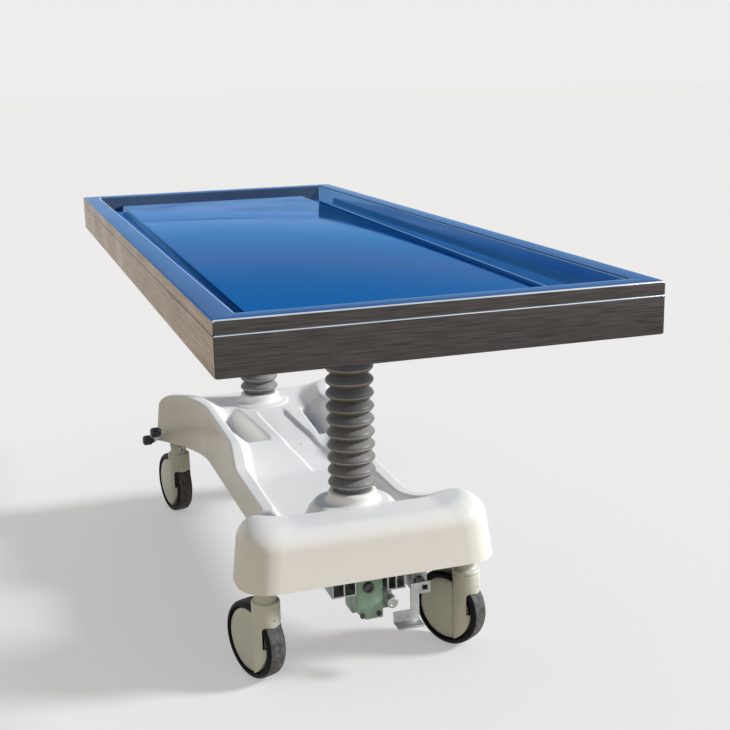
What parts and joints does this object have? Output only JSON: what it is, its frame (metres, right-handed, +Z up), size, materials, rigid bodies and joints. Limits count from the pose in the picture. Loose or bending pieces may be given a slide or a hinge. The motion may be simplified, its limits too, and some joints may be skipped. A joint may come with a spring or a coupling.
{
  "type": "embalming table",
  "caption": "Wheeled embalming table: a polished basin with a raised drain panel in a box frame, lifted on bellows-covered columns from a moulded base with foot pump and foot brake.",
  "frame": {"origin": "on the floor under the middle of the table", "axes": "+Z up, +Y along the table to the far end with the brake pedal, +X to the right seen from the near end with the pump pedal"},
  "size_m": [0.74, 1.9, 0.83],
  "materials": {
    "polished_steel": "mirror polished, blue tint",
    "brushed_steel": "coarse brushed",
    "bright_steel": "bright",
    "zinc_steel": "zinc plated",
    "green_casting": "painted casting",
    "chassis_paint": "satin paint",
    "cream_plastic": "gloss moulding",
    "beige_plastic": "satin moulding",
    "grey_rubber": "matt",
    "black_rubber": "matt",
    "tyre_rubber": "satin"
  },
  "bodies": {
    "base": {"plunger_spring": "bright_steel", "hydraulic_line": "bright_steel", "cylinder_near": "zinc_steel", "cylinder_far": "zinc_steel", "pump_body": "zinc_steel", "pump_rail_left": "zinc_steel", "pump_rail_right": "zinc_steel", "pedal_bracket": "zinc_steel", "pump_cap": "green_casting", "end_beam_near": "chassis_paint", "end_beam_far": "chassis_paint", "chassis_rail_left": "chassis_paint", "chassis_rail_right": "chassis_paint", "column_base_near": "chassis_paint", "column_base_far": "chassis_paint", "base_cover": "cream_plastic", "bellows_collar_near": "cream_plastic", "bellows_collar_far": "cream_plastic", "bellows_near": "grey_rubber", "bellows_far": "grey_rubber", "caster_stem_near_left": "zinc_steel", "caster_stem_near_right": "zinc_steel", "caster_stem_far_left": "zinc_steel", "caster_stem_far_right": "zinc_steel"},
    "table_top": {"tray_basin": "polished_steel", "drain_panel": "polished_steel", "drain_spout": "bright_steel", "frame_rail_left": "brushed_steel", "frame_rail_right": "brushed_steel", "frame_end_near": "brushed_steel", "frame_end_far": "brushed_steel", "cross_beam_near": "zinc_steel", "cross_beam_far": "zinc_steel", "column_head_near": "zinc_steel", "column_head_far": "zinc_steel", "ram_near": "bright_steel", "ram_far": "bright_steel"},
    "foot_pump_pedal": {"pump_pedal": "zinc_steel", "pedal_shaft": "zinc_steel"},
    "release_valve": {"release_plunger": "zinc_steel"},
    "foot_brake": {"brake_shaft": "zinc_steel", "brake_pedal": "zinc_steel", "brake_pad_upper": "black_rubber", "brake_pad_lower": "black_rubber"},
    "fork_near_left": {"caster_fork_near_left": "beige_plastic", "caster_axle_near_left": "bright_steel"},
    "wheel_near_left": {"caster_hub_near_left": "beige_plastic", "caster_tyre_near_left": "tyre_rubber"},
    "fork_near_right": {"caster_fork_near_right": "beige_plastic", "caster_axle_near_right": "bright_steel"},
    "wheel_near_right": {"caster_hub_near_right": "beige_plastic", "caster_tyre_near_right": "tyre_rubber"},
    "fork_far_left": {"caster_fork_far_left": "beige_plastic", "caster_axle_far_left": "bright_steel"},
    "wheel_far_left": {"caster_hub_far_left": "beige_plastic", "caster_tyre_far_left": "tyre_rubber"},
    "fork_far_right": {"caster_fork_far_right": "beige_plastic", "caster_axle_far_right": "bright_steel"},
    "wheel_far_right": {"caster_hub_far_right": "beige_plastic", "caster_tyre_far_right": "tyre_rubber"}
  },
  "joints": [
    {"name": "lift", "type": "slide", "parent": "base", "child": "table_top", "axis": [0, 0, 1], "range_m": [-0.2, 0.06], "deforming": ["bellows_near", "bellows_far"]},
    {"name": "pump_pedal_hinge", "type": "hinge", "parent": "base", "child": "foot_pump_pedal", "pos_m": [0.102, -0.5045, 0.1703], "axis": [0, 1, 0], "range_deg": [-12, 0], "stiffness_Nm_per_rad": 2, "springref_deg": 17.19},
    {"name": "release_plunger_slide", "type": "slide", "parent": "base", "child": "release_valve", "axis": [0, 1, 0], "range_m": [0, 0.006], "stiffness_N_per_m": 800, "springref_m": -0.01, "deforming": ["plunger_spring"]},
    {"name": "brake_hinge", "type": "hinge", "parent": "base", "child": "foot_brake", "pos_m": [-0.02, 0.497, 0.2246], "axis": [1, 0, 0], "range_deg": [0, 45]},
    {"name": "swivel_near_left", "type": "hinge", "parent": "base", "child": "fork_near_left", "pos_m": [-0.211, -0.497, 0.18], "axis": [0, 0, 1], "continuous": true},
    {"name": "roll_near_left", "type": "hinge", "parent": "fork_near_left", "child": "wheel_near_left", "pos_m": [-0.22502, -0.45847, 0.08], "axis": [0.9397, 0.342, 0], "continuous": true},
    {"name": "swivel_near_right", "type": "hinge", "parent": "base", "child": "fork_near_right", "pos_m": [0.211, -0.497, 0.18], "axis": [0, 0, 1], "continuous": true},
    {"name": "roll_near_right", "type": "hinge", "parent": "fork_near_right", "child": "wheel_near_right", "pos_m": [0.1905, -0.46149, 0.08], "axis": [0.866, 0.5, 0], "continuous": true},
    {"name": "swivel_far_left", "type": "hinge", "parent": "base", "child": "fork_far_left", "pos_m": [-0.211, 0.497, 0.18], "axis": [0, 0, 1], "continuous": true},
    {"name": "roll_far_left", "type": "hinge", "parent": "fork_far_left", "child": "wheel_far_left", "pos_m": [-0.21882, 0.53725, 0.08], "axis": [0.9816, 0.1908, 0], "continuous": true},
    {"name": "swivel_far_right", "type": "hinge", "parent": "base", "child": "fork_far_right", "pos_m": [0.211, 0.497, 0.18], "axis": [0, 0, 1], "continuous": true},
    {"name": "roll_far_right", "type": "hinge", "parent": "fork_far_right", "child": "wheel_far_right", "pos_m": [0.20388, 0.53738, 0.08], "axis": [0.9848, 0.1736, 0], "continuous": true}
  ]
}
